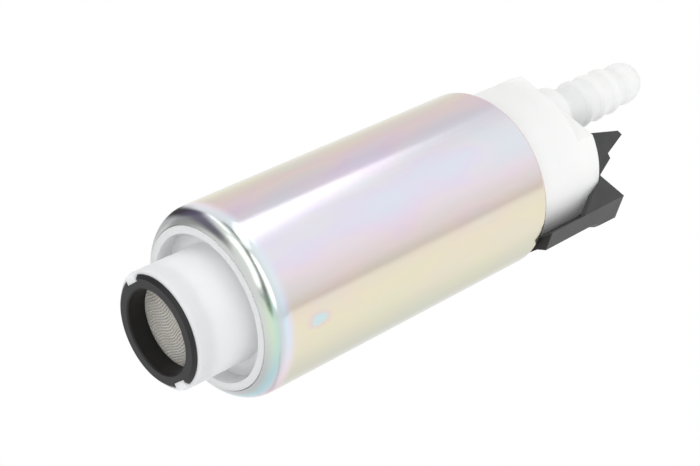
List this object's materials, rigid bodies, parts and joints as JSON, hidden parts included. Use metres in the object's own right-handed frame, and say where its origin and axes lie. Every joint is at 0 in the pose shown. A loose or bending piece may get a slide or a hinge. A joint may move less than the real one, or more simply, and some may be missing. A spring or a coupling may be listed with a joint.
{
  "type": "in-tank fuel pump",
  "caption": "Electric in-tank fuel pump: crimped steel body, white inlet neck with strainer ring, white outlet cover with hose barb, black terminal guard",
  "frame": {"origin": "centre of the strainer ring's mouth in the foot plane, on the pump's axis", "axes": "+Z along the pump's axis from inlet to outlet, +X towards the connector"},
  "size_m": [0.039, 0.038, 0.135],
  "materials": {
    "zinc_steel": "zinc plated, iridescent passivation",
    "white_plastic_inlet": "natural white, smooth",
    "white_plastic_outlet": "natural white, smooth",
    "black_plastic": "satin moulded",
    "ring_plastic": "satin moulded",
    "mesh_steel": "woven wire",
    "hard_steel": "ground",
    "dark_plastic": "glass filled",
    "bronze": "sintered",
    "soft_iron": "blued",
    "ferrite": "ground ferrite",
    "spring_steel": "drawn wire",
    "fibre": "pressed fibre",
    "copper": "enamelled copper",
    "carbon": "pressed carbon",
    "tinned_brass": "tinned",
    "black_rubber": "smooth"
  },
  "bodies": {
    "pump": {"housing": "zinc_steel", "inlet_cover": "white_plastic_inlet", "strainer_ring": "ring_plastic", "strainer_mesh": "mesh_steel", "thrust_pad": "hard_steel", "stage_body": "dark_plastic", "front_bearing": "bronze", "rear_bearing": "bronze", "flux_tube": "soft_iron", "magnet_a": "ferrite", "magnet_b": "ferrite", "magnet_clip_a": "spring_steel", "magnet_clip_b": "spring_steel", "end_plate": "dark_plastic", "brush_spring_a": "spring_steel", "brush_spring_b": "spring_steel", "terminal_a": "tinned_brass", "terminal_b": "tinned_brass", "outlet_cover": "white_plastic_outlet", "check_seat": "dark_plastic", "check_spring": "spring_steel", "relief_spring": "spring_steel", "relief_cap": "dark_plastic", "connector": "black_plastic", "inlet_seal": "black_rubber", "outlet_seal": "black_rubber"},
    "rotor": {"shaft": "hard_steel", "impeller": "dark_plastic", "stack": "soft_iron", "insulator_front": "fibre", "insulator_rear": "fibre", "windings": "copper", "commutator_hub": "dark_plastic", "commutator_bars": "copper"},
    "check_valve": {"check_poppet": "dark_plastic"},
    "relief_valve": {"relief_ball": "hard_steel"},
    "brush_pos": {"brush_a": "carbon"},
    "brush_neg": {"brush_b": "carbon"}
  },
  "joints": [
    {"name": "rotor_spin", "type": "hinge", "parent": "pump", "child": "rotor", "pos_m": [0, 0, 0.05], "axis": [0, 0, 1], "continuous": true},
    {"name": "check_lift", "type": "slide", "parent": "pump", "child": "check_valve", "axis": [0, 0, 1], "range_m": [0, 0.002], "stiffness_N_per_m": 120, "springref_m": -0.002, "deforming": ["check_spring"]},
    {"name": "relief_lift", "type": "slide", "parent": "pump", "child": "relief_valve", "axis": [0, 0, 1], "range_m": [0, 0.0015], "stiffness_N_per_m": 3000, "springref_m": -0.001, "deforming": ["relief_spring"]},
    {"name": "brush_pos_slide", "type": "slide", "parent": "pump", "child": "brush_pos", "axis": [0, 0, 1], "range_m": [0, 0.0015], "stiffness_N_per_m": 300, "springref_m": -0.003, "deforming": ["brush_spring_a"]},
    {"name": "brush_neg_slide", "type": "slide", "parent": "pump", "child": "brush_neg", "axis": [0, 0, 1], "range_m": [0, 0.0015], "stiffness_N_per_m": 300, "springref_m": -0.003, "deforming": ["brush_spring_b"]}
  ]
}
